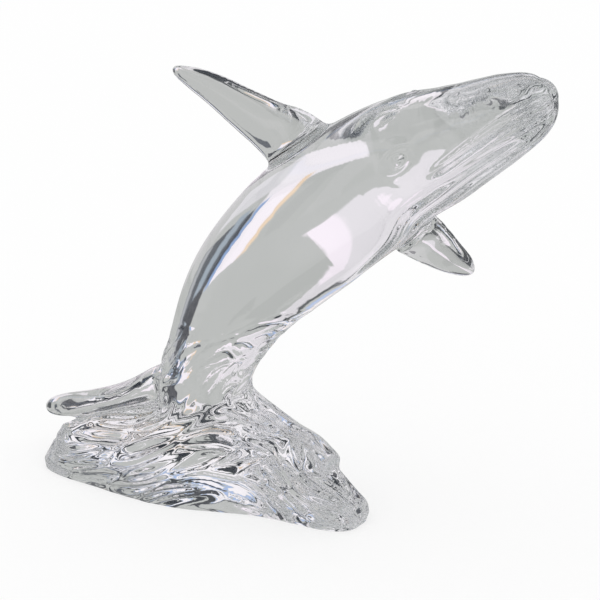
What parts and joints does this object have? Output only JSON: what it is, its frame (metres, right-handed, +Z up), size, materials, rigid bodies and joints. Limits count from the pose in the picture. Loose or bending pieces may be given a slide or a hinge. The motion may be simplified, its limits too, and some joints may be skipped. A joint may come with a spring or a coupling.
{
  "type": "crystal whale figurine",
  "caption": "Solid clear crystal figurine of a humpback whale leaping from a carved wave, with a flat polished foot to stand on.",
  "frame": {"origin": "on the flat polished foot, under the whale's tail stock", "axes": "+Z up from the foot, +X the way the whale leaps and the long way of the wave, -Y the side that the whale's back turns to"},
  "size_m": [0.2328, 0.086, 0.1861],
  "materials": {
    "crystal": "polished"
  },
  "bodies": {
    "root": {"whale_figurine": "crystal"}
  },
  "joints": []
}
